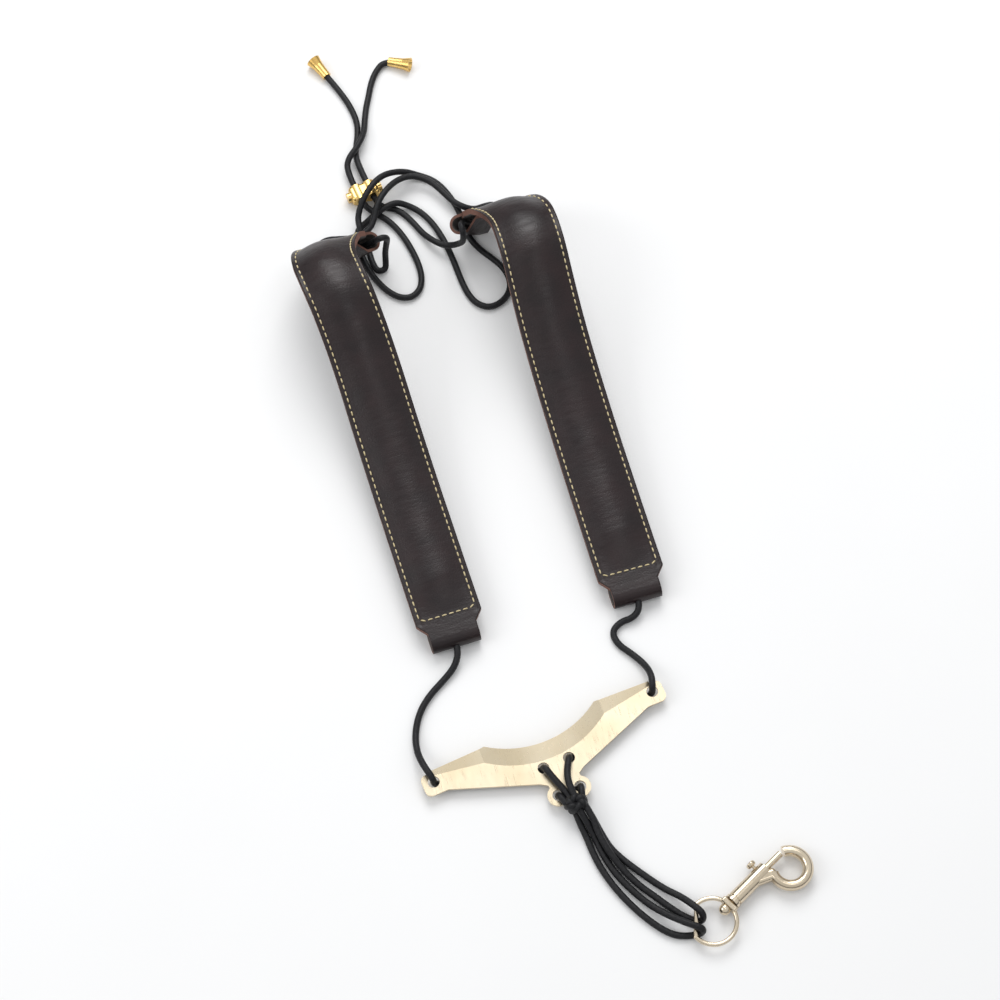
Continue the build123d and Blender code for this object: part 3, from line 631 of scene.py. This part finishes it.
for side in PADS:
    inner = [f for f in runs[side] if TAB_LENGTH <= f[0] <= STRAP_LENGTH - TAB_LENGTH]
    back = sweep_strip(f"backing_{side}_suede", inner, backing_bottom, backing_top,
                       suede, raw_edge, suede)
    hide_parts(f"backing_leather_{side}")
    print(back.name, len(back.data.vertices), "points")

# %% [markdown]
# ## Stitching
# Thick waxed thread in a cream colour runs along both edges and across both ends. A visible
# stitch is a grain of rice: fullest in the middle and pulled into the leather at both ends.
# Each is a small swept tube, bent down at its ends.

# %% Thread finish
thread, thread_tree, thread_shader = new_finish("waxed_thread", 0.55)
thread_noise = add_shades(thread_tree, thread_shader, (0.50, 0.40, 0.20),
                          (0.72, 0.62, 0.38), 1500)[1]
add_bump(thread_tree, thread_shader, thread_noise.outputs["Fac"], 0.1 * MM, 0.7)

# %% Stitches
STITCH_LONG = 2.9 * MM
STITCH_THICK = 0.42 * MM


def add_stitch(mesh, point, along, across, out):
    """One stitch, drawn as rings whose size and height follow a half circle."""
    rings = []
    for i in range(9):
        u = i / 4 - 1
        fullness = max(0.0, 1 - u * u) ** 0.5
        centre = point + along * (u * STITCH_LONG / 2) + out * (STITCH_THICK * (fullness - 0.55))
        size = STITCH_THICK * (0.45 + 0.55 * fullness)
        ring = []
        for k in range(8):
            angle = 2 * pi * k / 8
            ring.append(mesh.verts.new(centre + size * (across * cos(angle) + out * sin(angle))))
        rings.append(ring)
    for a, b in zip(rings, rings[1:]):
        for k in range(8):
            face = mesh.faces.new((a[k], a[(k + 1) % 8], b[(k + 1) % 8], b[k]))
            face.smooth = True
    mesh.faces.new(rings[0])
    mesh.faces.new(rings[-1])


FINE_STEPS = 20             # small steps between one stitch and the next
SEAM_CORNER = 4 * MM


def seam_path(first, last, seam, corner):
    """Places (along, across, direction) at every stitch round a strip with rounded corners."""
    side_run = last - first - 2 * corner
    end_run = 2 * (seam - corner)
    quarter = pi / 2 * corner
    legs = [(side_run, False), (quarter, True), (end_run, False), (quarter, True)] * 2
    total = sum(length for length, turning in legs)
    count = round(total / STITCH_PITCH)
    places = []
    s, a, heading, travelled, leg = first + corner, seam, 0.0, 0.0, 0
    fine = total / (count * FINE_STEPS)
    for i in range(count * FINE_STEPS):
        if i % FINE_STEPS == 0:
            places.append((s, a, heading))
        length, turning = legs[leg]
        heading += fine / corner if turning else 0
        s += fine * cos(heading)
        a -= fine * sin(heading)
        travelled += fine
        if travelled > length and leg < len(legs) - 1:
            travelled -= length
            leg += 1
            heading = round(heading / (pi / 2)) * pi / 2 if not legs[leg][1] else heading
    return places


SEAM = STRAP_WIDTH / 2 - SEAM_INSET
SEAM_ENDS = TAB_LENGTH + SHOULDER + 2 * MM
for side in PADS:
    mesh = bmesh.new()
    frames = runs[side]
    for s, a, heading in seam_path(SEAM_ENDS, STRAP_LENGTH - SEAM_ENDS, SEAM, SEAM_CORNER):
        place, point, along, across, out = frames[round(s / STEP)]
        height = top_height(s, a, STRAP_WIDTH / 2)
        spot = point + along * (s - place) + across * a + out * height
        way = along * cos(heading) - across * sin(heading)
        add_stitch(mesh, spot, way, way.cross(out), out)
    bmesh.ops.recalc_face_normals(mesh, faces=mesh.faces)
    row = finished_piece(f"seam_{side}_thread", mesh)
    row.data.materials.append(thread)
    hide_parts(f"stitching_{side}")
    print(row.name, len(row.data.polygons), "faces")

# %% [markdown]
# ## Metal
# The yoke is pressed sheet with a pale gold plating and a satin surface. The ring and hook are
# cast and polished, and the slider and cord ends are plain yellow brass. A metal's look is
# its roughness: fine scratches in the roughness and bump make plating look handled.

# %% Plated and brass finishes
def metal_finish(name, dark, light, roughness, scratch_scale, depth):
    """Metal with softly changing colour and fine, stretched scratches."""
    finish, tree, shader = new_finish(name, roughness, metal=1.0)
    place, mottle = add_shades(tree, shader, dark, light, 40, detail=2.0)
    stretch = tree.nodes.new("ShaderNodeMapping")
    stretch.inputs["Scale"].default_value = (scratch_scale, scratch_scale / 12, scratch_scale)
    scratches = tree.nodes.new("ShaderNodeTexNoise")
    scratches.inputs["Scale"].default_value = 1
    scratches.inputs["Detail"].default_value = 6
    tree.links.new(place.outputs["Object"], stretch.inputs["Vector"])
    tree.links.new(stretch.outputs["Vector"], scratches.inputs["Vector"])
    add_bump(tree, shader, scratches.outputs["Fac"], depth, 0.25)
    add_roughness(tree, shader, scratches.outputs["Fac"], roughness - 0.05, roughness + 0.08)
    return finish


pale_gold = metal_finish("pale_gold_plate", (0.78, 0.66, 0.46), (0.86, 0.75, 0.56),
                         0.3, 1200, 0.05 * MM)
polished = metal_finish("polished_plate", (0.66, 0.56, 0.42), (0.76, 0.66, 0.51),
                        0.18, 900, 0.03 * MM)
brass = metal_finish("yellow_brass", (0.74, 0.47, 0.14), (0.86, 0.60, 0.22),
                     0.26, 1000, 0.05 * MM)
steel = metal_finish("spring_steel", (0.45, 0.45, 0.46), (0.62, 0.62, 0.63),
                     0.3, 1000, 0.03 * MM)

METAL = {
    "yoke": pale_gold, "d_ring": polished, "hook_body": polished, "hook_bolt": polished,
    "bolt_spring": steel, "cord_slider": brass, "bell_left": brass, "bell_right": brass,
}
for node, finish in METAL.items():
    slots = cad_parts[node].material_slots
    for one in slots:
        one.material = finish
    print(node, finish.name, len(slots))

# %% [markdown]
# ## Table and light
# A plain pale table and large soft lights keep the attention on the object. The room is white
# overhead and dark at the horizon, as in a photo tent with open sides: polished metal needs
# something dark to mirror, or it looks like white plastic. The small light called crest stands
# where the rising part of each strap mirrors it towards the camera, which draws its shine.

# %% Table
floor_mesh = bpy.data.meshes.new("table")
TABLE_HALF = 6
corners = [(x * TABLE_HALF, y * TABLE_HALF, 0) for x, y in ((-1, -1), (1, -1), (1, 1), (-1, 1))]
floor_mesh.from_pydata(corners, [], [(0, 1, 2, 3)])
floor = bpy.data.objects.new("table", floor_mesh)
bpy.context.scene.collection.objects.link(floor)
paper, paper_tree, paper_shader = new_finish("white_paper", 0.9)
add_shades(paper_tree, paper_shader, (0.86, 0.86, 0.86), (0.88, 0.88, 0.88), 3)
paper_shader.inputs["Specular IOR Level"].default_value = 0.1
floor_mesh.materials.append(paper)

# %% Lights
world = bpy.context.scene.world or bpy.data.worlds.new("studio")
bpy.context.scene.world = world
world.use_nodes = True
sky = world.node_tree.nodes["Background"]
sky.inputs["Strength"].default_value = 0.76
direction = world.node_tree.nodes.new("ShaderNodeTexCoord")
parts = world.node_tree.nodes.new("ShaderNodeSeparateXYZ")
heights = world.node_tree.nodes.new("ShaderNodeValToRGB")
heights.color_ramp.elements[0].position = 0.08
heights.color_ramp.elements[0].color = (0.10, 0.10, 0.11, 1)
heights.color_ramp.elements[1].position = 0.5
heights.color_ramp.elements[1].color = (0.98, 0.99, 1.0, 1)
world.node_tree.links.new(direction.outputs["Generated"], parts.inputs["Vector"])
world.node_tree.links.new(parts.outputs["Z"], heights.inputs["Fac"])
world.node_tree.links.new(heights.outputs["Color"], sky.inputs["Color"])


def soft_light(name, where, size, watts):
    """Square softbox aimed at the middle of the strap."""
    data = bpy.data.lights.new(name, "AREA")
    data.size = size
    data.energy = watts
    lamp = bpy.data.objects.new(name, data)
    lamp.location = where
    lamp.rotation_euler = (Vector((0, 0.05, 0)) - Vector(where)).to_track_quat("-Z", "Y").to_euler()
    bpy.context.scene.collection.objects.link(lamp)
    return lamp


LIGHTS = [
    soft_light("overhead", (0.3, 1.3, 1.5), 1.2, 20),
    soft_light("side", (-1.4, 0.2, 1.1), 0.9, 6),
    soft_light("crest", (0.22, -0.3, 1.4), 0.45, 0.8),
]
print("lights", [lamp.name for lamp in LIGHTS])
